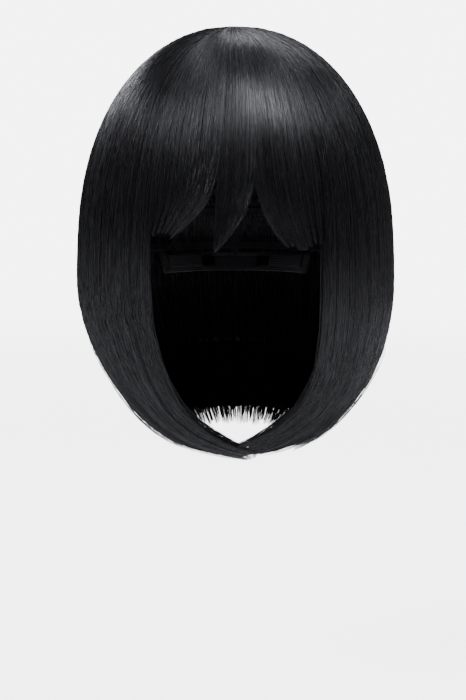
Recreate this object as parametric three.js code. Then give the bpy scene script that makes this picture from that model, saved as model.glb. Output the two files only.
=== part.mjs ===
// A short bob costume wig: a stretch cap for a head of 54 to 58 cm, rows of stitched
// fibre wefts, and the hair.
// Millimetres. +Z is up, the face looks along -Y and the wearer's left is +X.
// The origin is the top of the cap's inside, where the crown of the head sits.
import * as THREE from "three";
import { mergeVertices } from "three/addons/utils/BufferGeometryUtils.js";

// ---------------------------------------------------------------- driving dimensions

// A shell is a head-shaped surface, a superellipse in every upright section whose exponent
// is its `fullness`.
const HEAD = {
  halfWidth: 76,
  face: 91,
  nape: 96,
  top: 0,
  widest: -88,
  bottom: -208,
  fullness: 2,
};
const HAIR = {
  halfWidth: 111,
  face: 116,
  nape: 124,
  top: 16,
  widest: -141.5,
  bottom: -286.5,
  fullness: 2.15,
};

// Places on a shell are an azimuth (0 is the face, 90 the left ear, 180 the nape)
// and a polar angle (0 is the crown, 90 the widest level), both in degrees, and a lift off the shell.
const ROOT_LINE = 56; // polar angle on HAIR where the free-hanging hair begins
const SEAM = 0.4; // degrees or millimetres left between neighbouring pieces
const FRINGE_REACH = 31.5; // azimuth where the fringe meets the side hair
const BACK_REACH = 125; // azimuth where the side hair meets the back hair
const FRINGE_CUT = 87; // polar angle of the fringe's cut ends
const HAIR_ROOT_DEPTH = 8;
const HAIR_BELLY = 3; // how much thicker a curtain of hair is halfway down
const HAIR_TIP_DEPTH = 4;
const INNER_HAIR_LIFT = [-17, -13];

const NET_LIFT = [0, 1.0];
const BAND_LIFT = [0, 1.6];
const PATCH_LIFT = [1.6, 2.2];
const RIBBON_LIFT = [1.8, 2.4];
const WEFT_LIFT = [3.2, 4.6];
const STAY_LIFT = [2.0, 2.7];
const STRAP_LIFT = [-2.2, -1.0];
const LOOP_LIFT = [-1.2, -0.4];

const FRONT_REACH = 60; // azimuth where the front band meets the side panels
const NET_EDGE = 66; // polar angle on HEAD where the crown net is sewn to the lower panels
const NAPE_EDGE = 118; // polar angle of the nape panel's lower edge
const WEFT_HEIGHT = 2.4; // degrees of polar angle, about 4 mm
const RIBBON_WIDTH = 8;
const STRAP_REACH = [130, 156]; // azimuths of a strap's sewn end and its hook end
const HOOK = {
  length: 9,
  width: 6.4,
  plate: 0.9,
  tongue: 6,
  slot: 0.9,
  clearance: 0.7,
  polar: 123,
  travelEnd: 172,
};

// ---------------------------------------------------------------- materials

const MATERIALS = {
  fibre: new THREE.MeshStandardMaterial({ color: 0x141418, roughness: 0.38, metalness: 0 }),
  net: new THREE.MeshStandardMaterial({ color: 0x26252a, roughness: 0.85, metalness: 0 }),
  elastic: new THREE.MeshStandardMaterial({ color: 0x1d1c20, roughness: 0.8, metalness: 0 }),
  scalp: new THREE.MeshStandardMaterial({ color: 0xc9b29a, roughness: 0.7, metalness: 0 }),
  plastic: new THREE.MeshStandardMaterial({ color: 0x111113, roughness: 0.35, metalness: 0 }),
  stay: new THREE.MeshStandardMaterial({ color: 0x8d9096, roughness: 0.4, metalness: 0.9 }),
};

// ---------------------------------------------------------------- geometry helpers

const radians = THREE.MathUtils.degToRad;
const degrees = THREE.MathUtils.radToDeg;
const mix = THREE.MathUtils.lerp;
const ease = THREE.MathUtils.smoothstep;

// The point of a shell at an azimuth and polar angle, lifted off it.
function onShell(shell, azimuth, polar, lift) {
  const power = 2 / shell.fullness;
  const reach = Math.abs(Math.sin(radians(polar))) ** power;
  const rise = Math.abs(Math.cos(radians(polar))) ** power;
  const above = polar < 90;
  const height = above ? shell.top + lift - shell.widest : shell.bottom - lift - shell.widest;
  const faceward = Math.cos(radians(azimuth));
  const depth = (faceward > 0 ? shell.face : shell.nape) + lift;
  return new THREE.Vector3(
    (shell.halfWidth + lift) * reach * Math.sin(radians(azimuth)),
    -depth * reach * faceward,
    shell.widest + rise * height,
  );
}

// A geometry with only positions, its shared vertices merged and each moved by `move`.
function reshaped(geometry, move) {
  geometry.deleteAttribute("normal");
  geometry.deleteAttribute("uv");
  const merged = mergeVertices(geometry, 1e-5);
  const position = merged.getAttribute("position");
  for (let i = 0; i < position.count; i += 1) {
    position.setXYZ(i, ...move(position.getX(i), position.getY(i), position.getZ(i)).toArray());
  }
  return merged;
}

// A thin panel that lies on a shell. `across` runs 0 to 1 with the azimuth, and `down`
// runs 0 to 1 towards the hem.
function panel(shell, { azimuth, polar, lift, cells }) {
  const slab = new THREE.BoxGeometry(1, 1, 1, cells[0], cells[1], 1);
  return reshaped(slab, (x, y, z) => {
    const across = x + 0.5;
    const down = 0.5 - y;
    const [inner, outer] = lift(down, across);
    return onShell(shell, azimuth(across, down), polar(across, down), mix(inner, outer, z + 0.5));
  });
}

// A ring or dome that goes all round a shell. Its outline is [polar, lift] pairs, from pole
// to pole or closed.
function ring(shell, outline, segments) {
  const points = outline.map(([polar, lift]) => new THREE.Vector2(polar, lift));
  return reshaped(new THREE.LatheGeometry(points, segments), (x, y, z) => {
    const azimuth = degrees(Math.atan2(x, z));
    return onShell(shell, azimuth, Math.hypot(x, z), y);
  });
}

// The outline of a dome from the pole to an edge, `steps` long on each face.
function domeOutline(edge, [inner, outer], steps) {
  const below = Array.from({ length: steps + 1 }, (_, i) => [(edge * i) / steps, inner]);
  const above = below.map(([polar]) => [polar, outer]).reverse();
  return [...below, ...above];
}

const even = (from, to) => (along) => mix(from, to, along);
const level = (from, to) => (across, down) => mix(from, to, down);
const flat = (lift) => () => lift;

const wig = new THREE.Group();

function piece(name, geometry, material) {
  const mesh = new THREE.Mesh(geometry, material);
  mesh.name = name;
  wig.add(mesh);
  return mesh;
}

// Left and right pieces are the same, mirrored by the sign of the azimuth.
const SIDES = [
  { side: "left", sign: 1 },
  { side: "right", sign: -1 },
];

// A span of azimuth on one side, kept in rising order so that the panel's faces point out.
const sideSpan = (sign, near, far) => (sign > 0 ? [near, far] : [-far, -near]);

// ---------------------------------------------------------------- cap

function buildCap() {
  piece("crown_net", ring(HEAD, domeOutline(NET_EDGE, NET_LIFT, 6), 32), MATERIALS.net);
  piece("scalp_patch", ring(HEAD, domeOutline(10, PATCH_LIFT, 3), 20), MATERIALS.scalp);

  piece(
    "front_band",
    panel(HEAD, {
      azimuth: even(-FRONT_REACH, FRONT_REACH),
      polar: level(NET_EDGE + SEAM, 73),
      lift: flat(BAND_LIFT),
      cells: [12, 1],
    }),
    MATERIALS.elastic,
  );
  piece(
    "nape_panel",
    panel(HEAD, {
      azimuth: even(BACK_REACH + SEAM, 360 - BACK_REACH - SEAM),
      polar: level(NET_EDGE + SEAM, NAPE_EDGE),
      lift: flat(NET_LIFT),
      cells: [10, 6],
    }),
    MATERIALS.net,
  );
  piece(
    "nape_band",
    panel(HEAD, {
      azimuth: even(BACK_REACH, 360 - BACK_REACH),
      polar: level(NAPE_EDGE + SEAM, 126),
      lift: flat(BAND_LIFT),
      cells: [12, 1],
    }),
    MATERIALS.elastic,
  );

  for (const { side, sign } of SIDES) {
    const [from, to] = sideSpan(sign, FRONT_REACH + SEAM, BACK_REACH - SEAM);
    const towardsNape = (across) => (sign > 0 ? across : 1 - across);
    // The side panel's lower edge rises over the ear and drops behind it.
    const lowerEdge = (across) => mix(92, 112, ease(towardsNape(across), 0.55, 1));
    piece(
      `${side}_side_panel`,
      panel(HEAD, {
        azimuth: even(from, to),
        polar: (across, down) => mix(NET_EDGE + SEAM, lowerEdge(across), down),
        lift: flat(NET_LIFT),
        cells: [8, 4],
      }),
      MATERIALS.net,
    );
  }
}

// Ribbons sewn over the net from the crown to the lower edge, of one width all the way.
function buildRibbons() {
  const RIBBONS = [
    ["centre_back_ribbon", 180, NAPE_EDGE],
    ["left_back_ribbon", 142, NAPE_EDGE],
    ["right_back_ribbon", 218, NAPE_EDGE],
    ["left_front_ribbon", 32, NET_EDGE],
    ["right_front_ribbon", -32, NET_EDGE],
  ];
  const start = 14;
  for (const [name, centre, end] of RIBBONS) {
    const halfSpan = (polar) => degrees(RIBBON_WIDTH / 2 / (HEAD.nape * Math.sin(radians(polar))));
    piece(
      name,
      panel(HEAD, {
        azimuth: (across, down) => centre + mix(-1, 1, across) * halfSpan(mix(start, end, down)),
        polar: level(start, end),
        lift: flat(RIBBON_LIFT),
        cells: [1, 20],
      }),
      MATERIALS.elastic,
    );
  }
}

// A flap in front of each ear with a bendable stay on its outer face.
function buildEarTabs() {
  for (const { side, sign } of SIDES) {
    const middle = sign * 76;
    const tab = (halfWidth, top, bottom, lift) =>
      panel(HEAD, {
        azimuth: (across, down) => middle + mix(-1, 1, across) * halfWidth * (1 - 0.45 * down * down),
        polar: level(top, bottom),
        lift: flat(lift),
        cells: [3, 4],
      });
    piece(`${side}_ear_tab`, tab(8.5, 93, 109, BAND_LIFT), MATERIALS.elastic);
    piece(`${side}_ear_stay`, tab(1.8, 94.5, 107, STAY_LIFT), MATERIALS.stay);
  }
}

// Elastic straps inside the nape, each ending in a hook that moves along a row of loops.
function buildAdjusters() {
  const { length, width, plate, tongue, slot } = HOOK;
  const outer = plate + slot;
  const outline = new THREE.Shape([
    new THREE.Vector2(0, outer),
    new THREE.Vector2(length - plate, outer),
    new THREE.Vector2(length - plate, plate),
    new THREE.Vector2(length - tongue, plate),
    new THREE.Vector2(length - tongue, 0),
    new THREE.Vector2(length, 0),
    new THREE.Vector2(length, outer + plate),
    new THREE.Vector2(0, outer + plate),
  ]);

  for (const { side, sign } of SIDES) {
    const azimuthOf = (angle) => (sign > 0 ? angle : 360 - angle);
    const strip = (near, far, polar, lift, cells) => {
      const [from, to] = [azimuthOf(near), azimuthOf(far)].sort((a, b) => a - b);
      return panel(HEAD, {
        azimuth: even(from, to),
        polar: level(...polar),
        lift: flat(lift),
        cells: [cells, 1],
      });
    };
    const hookStart = STRAP_REACH[1] + 1;
    const strap = strip(...STRAP_REACH, [119.5, 124.5], STRAP_LIFT, 8);
    piece(`${side}_adjuster_strap`, strap, MATERIALS.elastic);
    const loops = strip(hookStart + 1, 178.5, [118.9, 120.3], LOOP_LIFT, 5);
    piece(`${side}_hook_loops`, loops, MATERIALS.elastic);

    // The hook's back lies against the head, and its tongue faces the nape band.
    const before = onShell(HEAD, azimuthOf(hookStart), HOOK.polar, 0);
    const after = onShell(HEAD, azimuthOf(HOOK.travelEnd), HOOK.polar, 0);
    const higher = onShell(HEAD, azimuthOf(hookStart), HOOK.polar - 3, 0);
    const along = after.clone().sub(before).normalize();
    const inward = new THREE.Vector3().crossVectors(higher.sub(before), along).setLength(sign);
    const upward = new THREE.Vector3().crossVectors(along, inward);
    const geometry = new THREE.ExtrudeGeometry(outline, { depth: width, bevelEnabled: false });
    geometry.translate(0, 0, -width / 2);
    const hook = piece(`${side}_adjuster_hook`, geometry, MATERIALS.plastic);
    hook.setRotationFromMatrix(new THREE.Matrix4().makeBasis(along, inward, upward));
    hook.position.copy(before.addScaledVector(inward, HOOK.clearance));
  }
}

// ---------------------------------------------------------------- wefts

// Each weft is a stitched header, sewn to the cap in rows.
function buildWefts() {
  const header = (from, to, polar, cells) =>
    panel(HEAD, {
      azimuth: even(from, to),
      polar: level(polar, polar + WEFT_HEIGHT),
      lift: flat(WEFT_LIFT),
      cells: [cells, 1],
    });

  [18, 30, 42, 54].forEach((polar, i) => {
    const [inner, outer] = WEFT_LIFT;
    const end = polar + WEFT_HEIGHT;
    const outline = [[polar, inner], [end, inner], [end, outer], [polar, outer], [polar, inner]];
    piece(`crown_weft_${i + 1}`, ring(HEAD, outline, 32), MATERIALS.fibre);
  });
  [62, 69].forEach((polar, i) => {
    piece(`fringe_weft_${i + 1}`, header(-50, 50, polar, 10), MATERIALS.fibre);
  });
  [66, 78, 90, 102, 114].forEach((polar, i) => {
    piece(`back_weft_${i + 1}`, header(112, 248, polar, 14), MATERIALS.fibre);
  });
  for (const { side, sign } of SIDES) {
    const [from, to] = sideSpan(sign, 55, 110);
    [66, 78, 88].forEach((polar, i) => {
      piece(`${side}_side_weft_${i + 1}`, header(from, to, polar, 6), MATERIALS.fibre);
    });
  }
}

// ---------------------------------------------------------------- hair

// A curtain of hair thickens halfway down and thins to its cut ends.
function curtainLift(down) {
  const root = mix(HAIR_ROOT_DEPTH, HAIR_TIP_DEPTH, down);
  return [-(root + HAIR_BELLY * Math.sin(Math.PI * down)), 0];
}

// The three parts of the fringe: a cut swept towards each temple, and a narrow lock between them.
function buildFringe() {
  const LOCKS = [
    { name: "fringe_right_lock", near: [-FRINGE_REACH, -FRINGE_REACH], far: [-6.2, -26], cells: [5, 7] },
    { name: "fringe_centre_lock", near: [-5.4, -5.8], far: [6.6, -4.4], cells: [3, 7] },
    { name: "fringe_left_lock", near: [7.4, 17], far: [FRINGE_REACH, FRINGE_REACH], cells: [5, 7] },
  ];
  // An edge stays straight at first and then sweeps towards the tip.
  const edge = ([root, tip], down) => mix(root, tip, down ** 4);
  for (const { name, near, far, cells } of LOCKS) {
    const geometry = panel(HAIR, {
      azimuth: (across, down) => mix(edge(near, down), edge(far, down), across),
      polar: level(ROOT_LINE + SEAM, FRINGE_CUT),
      lift: (down) => [mix(-HAIR_ROOT_DEPTH, -HAIR_TIP_DEPTH, down), 0],
      cells,
    });
    piece(name, geometry, MATERIALS.fibre);
  }
}

// The side hair hangs past the jaw, and its ends sweep forward and in until both sides
// nearly meet under the chin.
function buildSideHair() {
  const frontEdge = (down) =>
    FRINGE_REACH + SEAM + 6 * ease(down, 0.25, 0.6) - 34.5 * ease(down, 0.68, 1.02);
  const rearEdge = (down) => BACK_REACH - SEAM - 8 * ease(down, 0.6, 1);
  const hem = (towardsNape) => mix(147, 156, ease(towardsNape, 0, 0.3)) - 7 * ease(towardsNape, 0.5, 1);
  for (const { side, sign } of SIDES) {
    const towardsNape = (across) => (sign > 0 ? across : 1 - across);
    const geometry = panel(HAIR, {
      azimuth: (across, down) => sign * mix(frontEdge(down), rearEdge(down), towardsNape(across)),
      polar: (across, down) => mix(ROOT_LINE + SEAM, hem(towardsNape(across)), down),
      lift: curtainLift,
      cells: [10, 12],
    });
    piece(`${side}_side_hair`, geometry, MATERIALS.fibre);

    const [from, to] = sideSpan(sign, 42, BACK_REACH - 4);
    const inner = panel(HAIR, {
      azimuth: even(from, to),
      polar: level(77, 127),
      lift: flat(INNER_HAIR_LIFT),
      cells: [7, 6],
    });
    piece(`${side}_inner_hair`, inner, MATERIALS.fibre);
  }
}

function buildBackHair() {
  const rearEdge = (down) => BACK_REACH + SEAM - 8 * ease(down, 0.6, 1);
  const geometry = panel(HAIR, {
    azimuth: (across, down) => mix(rearEdge(down), 360 - rearEdge(down), across),
    polar: level(ROOT_LINE + SEAM, 149),
    lift: curtainLift,
    cells: [12, 12],
  });
  piece("back_hair", geometry, MATERIALS.fibre);

  const inner = panel(HAIR, {
    azimuth: even(BACK_REACH - 2, 362 - BACK_REACH),
    polar: level(77, 134),
    lift: flat(INNER_HAIR_LIFT),
    cells: [9, 7],
  });
  piece("nape_inner_hair", inner, MATERIALS.fibre);
}

function buildHair() {
  const lift = [-HAIR_ROOT_DEPTH, 0];
  piece("crown_hair", ring(HAIR, domeOutline(ROOT_LINE - SEAM, lift, 8), 36), MATERIALS.fibre);
  buildFringe();
  buildSideHair();
  buildBackHair();
}

buildCap();
buildRibbons();
buildEarTabs();
buildAdjusters();
buildWefts();
buildHair();

export default wig;
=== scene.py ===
"""A short bob costume wig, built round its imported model.

The wig is a stretch cap sewn with rows of fibre wefts. The hair is thousands of fibres that
leave a whorl on the crown, hang as a fringe, side hair and back hair, and curve in below the chin.
Places on the wig are given as an azimuth (0 is the face, 90 the left ear, 180 the nape) and a
polar angle (0 is the crown), both in degrees, on one of two head-shaped shells.
"""

import functools
import math

import bpy
import numpy as np
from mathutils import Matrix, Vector


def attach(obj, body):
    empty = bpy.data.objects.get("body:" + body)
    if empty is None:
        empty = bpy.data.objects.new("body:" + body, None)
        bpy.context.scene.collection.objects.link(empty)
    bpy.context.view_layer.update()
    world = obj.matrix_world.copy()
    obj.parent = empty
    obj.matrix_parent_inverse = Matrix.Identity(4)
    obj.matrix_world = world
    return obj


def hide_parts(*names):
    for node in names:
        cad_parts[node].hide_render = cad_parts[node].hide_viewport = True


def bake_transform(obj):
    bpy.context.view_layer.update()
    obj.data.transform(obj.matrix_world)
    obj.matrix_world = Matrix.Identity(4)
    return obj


bl_info = {
    "name": "Bob costume wig",
    "version": (1, 0, 0),
    "blender": (4, 5, 0),
    "location": "3D View > Sidebar > Wig",
    "description": "Builds a short bob wig: its cap, wefts, adjusters and combed hair",
    "category": "Add Mesh",
}

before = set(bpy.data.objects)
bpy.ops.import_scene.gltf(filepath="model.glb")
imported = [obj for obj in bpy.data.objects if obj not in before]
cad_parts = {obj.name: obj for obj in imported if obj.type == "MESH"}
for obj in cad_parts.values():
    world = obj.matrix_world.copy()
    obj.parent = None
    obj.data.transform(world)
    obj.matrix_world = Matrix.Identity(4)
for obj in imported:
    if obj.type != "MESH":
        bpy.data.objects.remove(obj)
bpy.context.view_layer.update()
MM = 0.001
SIDES = {"left": 1, "right": -1}


# ------------------------------------------------------------------------------- settings


def amount(name, default, description, **settings):
    return bpy.props.FloatProperty(name=name, default=default, description=description, **settings)


def length(name, default, description):
    return amount(name, default, description, unit="LENGTH", precision=5)


def angle(name, default, description):
    return amount(name, math.radians(default), description, subtype="ANGLE")


def portion(name, default, description):
    return amount(name, default, description, subtype="FACTOR", min=0, max=1)


def power(name, default, description):
    return amount(name, default, description, subtype="POWER")


def colour(name, default, description):
    return bpy.props.StringProperty(name=name, default=default, description=description)


class WigShell(bpy.types.PropertyGroup):
    """A head-shaped surface, a superellipse in every upright section."""

    half_width: length("Half width", 0.111, "Half the width at the widest level")
    face: length("Face depth", 0.116, "Depth from the middle to the face")
    nape: length("Nape depth", 0.124, "Depth from the middle to the nape")
    top: length("Top", 0.016, "Height of the top")
    widest: length("Widest level", -0.1415, "Height of the widest level")
    bottom: length("Bottom", -0.2865, "Height where the surface would close below")
    fullness: amount("Fullness", 2.15, "Exponent of the superellipse; 2 is an ellipse")


class WigCut(bpy.types.PropertyGroup):
    """How the hair is parted and cut."""

    root_line: angle("Root line", 56, "Polar angle where the hair leaves the crown and hangs free")
    fringe_reach: angle("Fringe reach", 31.5, "Azimuth where the fringe meets the side hair")
    back_reach: angle("Back reach", 125, "Azimuth where the side hair meets the back hair")
    fringe_cut: angle("Fringe cut", 87, "Polar angle of the fringe's cut ends")
    side_cut: angle("Side cut", 159.5, "Polar angle of the longest side hair")
    back_cut: angle("Back cut", 151, "Polar angle of the back hair's cut ends")
    whorl_forward: length("Whorl forward", 0.016, "How far in front of the middle the whorl lies")
    whorl_right: length("Whorl right", 0.0025, "How far to the wearer's right the whorl lies")
    lean: length("Lean", 0.0035, "How far the ends hang to the left of the middle")
    belly: length("Belly", 0.0022, "How much wider the hair is below the cheeks")


class WigFibre(bpy.types.PropertyGroup):
    """The fibres, drawn as closed tubes."""

    width: length("Width", 0.00045, "Width of a drawn fibre; a real one is about 0.07 mm")
    depth: length("Depth", 0.0024, "Depth of the layer that the drawn fibres fill")
    per_degree: amount("Fibres per degree", 28, "Drawn fibres for a degree of azimuth")
    gather: portion("Gather", 0.38, "How far fibres gather into locks at their ends")
    wander: portion("Wander", 0.8, "How far fibres drift sideways, as a share of a lock's width")
    ragged: portion("Ragged ends", 0.065, "Share of its length that a fibre may be cut short by")
    seed: bpy.props.IntProperty(name="Seed", default=11, description="Seed of the random draws")


class WigColours(bpy.types.PropertyGroup):
    """sRGB colours of the materials."""

    fibre: colour("Fibre", "#09090B", "Near-black hair fibre")
    fibre_light: colour("Light fibre", "#16161A", "The lightest of the hair fibres")
    elastic: colour("Elastic", "#2B2A2E", "Yarn of the elastic bands, ribbons and net")
    thread: colour("Thread", "#48474D", "Sewing thread")
    scalp: colour("Scalp patch", "#C7A98B", "Tricot patch below the whorl")
    hook: colour("Hook", "#101012", "Moulded adjuster hooks")
    stay: colour("Stay", "#A9ABB0", "Bendable strip in an ear tab")
    floor: colour("Floor", "#F4F4F6", "Floor and surroundings")
    light: colour("Light", "#F6F7FF", "Softboxes, a little cooler than daylight")


class WigStudio(bpy.types.PropertyGroup):
    """The camera, floor and lights."""

    distance: length("Camera distance", 1.35, "Distance of the camera from the wig's middle")
    eye_level: length("Camera height", -0.060, "Height of the camera")
    aim: length("Aim height", -0.210, "Height that the camera looks at")
    aside: length("Aim aside", -0.00175, "How far to the wearer's right the camera looks")
    view: angle("Field of view", 20.6, "Upright field of view")
    floor: length("Floor level", -0.440, "Height of the floor, at the foot of a wig stand")
    middle: length("Light aim", -0.060, "Height that the softboxes point at")
    away: length("Light distance", 1.8, "Distance of the softboxes from where they point")
    key_power: power("Key power", 6, "Power of each softbox in front")
    top_power: power("Top power", 3.5, "Power of the softbox above the crown")
    side_power: power("Side power", 16, "Power of each side softbox")
    low_power: power("Low power", 4.5, "Power of the low softbox that lights the cap's inside")
    ambient: amount("Ambient", 0.2, "Strength of the surroundings as a light")
    backdrop: amount("Backdrop", 7, "Strength of the surroundings to the camera")


UV_MAP = "comb_uv"
# The drawn width of sewing thread and net yarn, and of a cell of the net.
THREAD = 0.45 * MM
NET_CELL = 3.2 * MM
# How far the net lies above the head shell, and the fibre mass and the roots below the hair's.
NET_LIFT = 0.6 * MM
MASS_DEPTH = 2.4 * MM
ROOT_DEPTH = 2.8 * MM
WHORL_ROOT_DEPTH = 0.6 * MM
# Polar angles in degrees where the outer, stray and inner hair starts.
CROWN_START = 1.0
STRAY_START = 112
INNER_ROOT = 77
# How far in degrees past the root line a curtain's mass starts and the crown's mass ends.
CURTAIN_ROOT = 0.3
CROWN_END = 0.6
# Degrees: the gap at each edge of a curtain's mass, and how far in from there it is rounded.
EDGE_GAP = 0.4
EDGE_ROUND = 4.0
# The share of its width that a guide sheet runs past the hair at each edge.
SPARE = 0.03
# How much of a fibre's sideways drift is its own.
LONE_SHARE = 0.35
# Heights passed to hang with each curtain: where it would start to move with its body, and where it
# would move wholly with it.
FRINGE_BEND = (-0.052, -0.085)
CURTAIN_BEND = (-0.052, -0.120)
# Degrees: half the front band's reach, where the crown and nape nets end, and the panels' gap.
BAND_REACH = 60
CROWN_NET_END = 66
NAPE_NET_END = 118
PANEL_GAP = 0.4
# Lifts in millimetres of the inner and outer face of the cap's parts, and of their stitches.
LIFTS = {
    "band": (0, 1.6),
    "ribbon": (1.8, 2.4),
    "stay": (2.0, 2.7),
    "strap": (-2.2, -1.0),
    "loops": (-1.2, -0.4),
}
SEWN = {"band": 1.72, "inside": -0.12, "ribbon": 2.5, "weft": 4.7, "loops": -1.3, "patch": 2.3}
# An ear tab in degrees: its azimuth, its half width, its reach down, and how far it narrows.
TAB_MIDDLE = 76
TAB_HALF_WIDTH = 8.5
TAB_REACH = (93, 109)
TAB_NARROWS = 0.45
HEAD_SHELL = {
    "half_width": 0.076,
    "face": 0.091,
    "nape": 0.096,
    "top": 0.0,
    "widest": -0.088,
    "bottom": -0.208,
    "fullness": 2.0,
}


# ------------------------------------------------------------------------------- shells and meshes


def ease(value, low, high):
    """A smooth step from 0 at low to 1 at high."""
    t = np.clip((np.asarray(value, float) - low) / (high - low), 0, 1)
    return t * t * (3 - 2 * t)


def mix(a, b, t):
    return a + (b - a) * t


def on_shell(shell, azimuth, polar, lift):
    """The points of a shell at these azimuths and polar angles, lifted off it."""
    azimuth, polar, lift = np.broadcast_arrays(
        np.radians(azimuth), np.radians(polar), np.asarray(lift, float)
    )
    power = 2 / shell.fullness
    reach = np.abs(np.sin(polar)) ** power
    rise = np.abs(np.cos(polar)) ** power
    above = shell.top + lift - shell.widest
    below = shell.bottom - lift - shell.widest
    height = np.where(polar < math.pi / 2, above, below)
    depth = np.where(np.cos(azimuth) > 0, shell.face, shell.nape) + lift
    return np.stack(
        [
            (shell.half_width + lift) * reach * np.sin(azimuth),
            -depth * reach * np.cos(azimuth),
            shell.widest + rise * height,
        ],
        axis=-1,
    )


def combed(azimuth, polar, lift):
    """The points of the hair shell, with every path near the crown drawn to the whorl."""
    shell, cut = bpy.context.scene.wig_hair, bpy.context.scene.wig_cut
    points = on_shell(shell, azimuth, polar, lift)
    pull = np.clip(1 - np.asarray(polar, float) / 52, 0, 1) ** 2
    pull = np.broadcast_to(pull, points.shape[:-1])
    x = points[..., 0] - cut.whorl_right * pull
    y = points[..., 1] - cut.whorl_forward * pull
    lift = np.broadcast_to(lift, pull.shape)
    depth = np.where(y < 0, shell.face, shell.nape) + lift
    reach = np.hypot(x / (shell.half_width + lift), y / depth)
    rise = np.clip(1 - reach**shell.fullness, 0, 1) ** (1 / shell.fullness)
    crown = shell.widest + rise * (shell.top + lift - shell.widest)
    z = np.where(pull > 0, crown, points[..., 2])
    polar = np.broadcast_to(polar, pull.shape)
    lean = cut.lean * ease(polar, 95, 130)
    belly = cut.belly * ease(polar, 86, 104) * (1 - ease(polar, 112, 136))
    return np.stack([x * (1 + belly / shell.half_width) + lean, y, z], axis=-1)


def grid(across, down):
    """The u and v of a grid of points, rows running down."""
    v, u = np.meshgrid(np.linspace(0, 1, down + 1), np.linspace(0, 1, across + 1), indexing="ij")
    return u.ravel(), v.ravel()


def grid_faces(across, down, first=0, flip=False):
    """Quads of a grid, facing out where u runs with the azimuth and v runs down."""
    faces = []
    for j in range(down):
        for i in range(across):
            a = first + j * (across + 1) + i
            b = a + across + 1
            quad = (b, b + 1, a + 1, a)
            faces.append(quad[::-1] if flip else quad)
    return faces


def linked(name, data):
    """An object that holds this data, in the scene."""
    made = bpy.data.objects.new(name, data)
    bpy.context.scene.collection.objects.link(made)
    return made


def mesh_object(name, points, faces, uv=None):
    """A smooth mesh object at the origin, with a UV map where each point has one u and v."""
    mesh = bpy.data.meshes.new(name)
    mesh.from_pydata([tuple(p) for p in np.asarray(points).tolist()], [], faces)
    if uv is not None:
        layer = mesh.uv_layers.new(name=UV_MAP)
        corner = np.zeros(len(mesh.loops), np.int32)
        mesh.loops.foreach_get("vertex_index", corner)
        layer.data.foreach_set("uv", np.asarray(uv, np.float32)[corner].ravel())
    mesh.shade_smooth()
    mesh.validate()
    return linked(name, mesh)


def sheet(name, place, across, down):
    """An open guide surface; place(u, v) gives its points, and its UV map holds u and v."""
    u, v = grid(across, down)
    return mesh_object(name, place(u, v), grid_faces(across, down), np.stack([u, v], -1))


def slab(name, place, across, down, size, round_edge=0.0):
    """A closed panel. place(u, v, side) gives its outer face at side 1 and its inner at 0.

    size is its real width and height in metres, for the UV map of its weave.
    """
    u, v = grid(across, down)
    count = len(u)
    points = np.concatenate([place(u, v, 1.0), place(u, v, 0.0)])
    faces = grid_faces(across, down) + grid_faces(across, down, count, flip=True)
    rim = [j * (across + 1) for j in range(down)]
    rim += [down * (across + 1) + i for i in range(across)]
    rim += [j * (across + 1) + across for j in range(down, 0, -1)]
    rim += list(range(across, 0, -1))
    for a, b in zip(rim, rim[1:] + rim[:1]):
        faces.append((a, a + count, b + count, b))
    uv = np.tile(np.stack([u * size[0], v * size[1]], -1), (2, 1))
    made = mesh_object(name, points, faces, uv)
    if round_edge:
        bevel = made.modifiers.new("Rolled edge", "BEVEL")
        bevel.width = round_edge
        bevel.segments = 2
    return made


# ------------------------------------------------------------------------------- nodes


def linear(hex_colour):
    """An sRGB hex colour as linear red, green, blue and alpha."""
    parts = [int(hex_colour[i : i + 2], 16) / 255 for i in (1, 3, 5)]
    return [c / 12.92 if c <= 0.04045 else ((c + 0.055) / 1.055) ** 2.4 for c in parts] + [1.0]


def node(tree, kind, inputs=None, **settings):
    """Adds a node with its settings. An input is a value, a socket, or a node to link from."""
    made = tree.nodes.new(kind)
    for name, value in settings.items():
        setattr(made, name, value)
    for name, value in (inputs or {}).items():
        if isinstance(value, bpy.types.Node):
            value = next(out for out in value.outputs if out.enabled)
        if isinstance(value, bpy.types.NodeSocket):
            tree.links.new(value, made.inputs[name])
        else:
            made.inputs[name].default_value = value
    return made


def new_tree(name, sockets):
    """A geometry node tree with a geometry input and output and these named inputs."""
    tree = bpy.data.node_groups.new(name, "GeometryNodeTree")
    tree.interface.new_socket("Geometry", in_out="OUTPUT", socket_type="NodeSocketGeometry")
    tree.interface.new_socket("Geometry", in_out="INPUT", socket_type="NodeSocketGeometry")
    for socket, kind, default in sockets:
        made = tree.interface.new_socket(socket, in_out="INPUT", socket_type="NodeSocket" + kind)
        if default is not None:
            made.default_value = default
    return tree, node(tree, "NodeGroupInput").outputs


def finish_tree(tree, geometry, material):
    """Realizes, smooths and paints what a tree has made, and joins it to the output."""
    real = node(tree, "GeometryNodeRealizeInstances", {"Geometry": geometry})
    smooth = node(tree, "GeometryNodeSetShadeSmooth", {"Geometry": real})
    painted = node(tree, "GeometryNodeSetMaterial", {"Geometry": smooth, "Material": material})
    node(tree, "NodeGroupOutput", {"Geometry": painted})
    return tree


def grown(name, guide, tree, values):
    """The plain mesh that a node tree makes from a guide. The guide is used up."""
    modifier = guide.modifiers.new("Grow", "NODES")
    modifier.node_group = tree
    for item in tree.interface.items_tree:
        if item.in_out == "INPUT" and item.name in values:
            modifier[item.identifier] = values[item.name]
    bpy.context.view_layer.update()
    ready = guide.evaluated_get(bpy.context.evaluated_depsgraph_get())
    mesh = bpy.data.meshes.new_from_object(ready)
    mesh.name = name
    bpy.data.objects.remove(guide)
    if not mesh.polygons:
        raise RuntimeError(f"{name}: the node tree made no faces")
    return linked(name, mesh)


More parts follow.
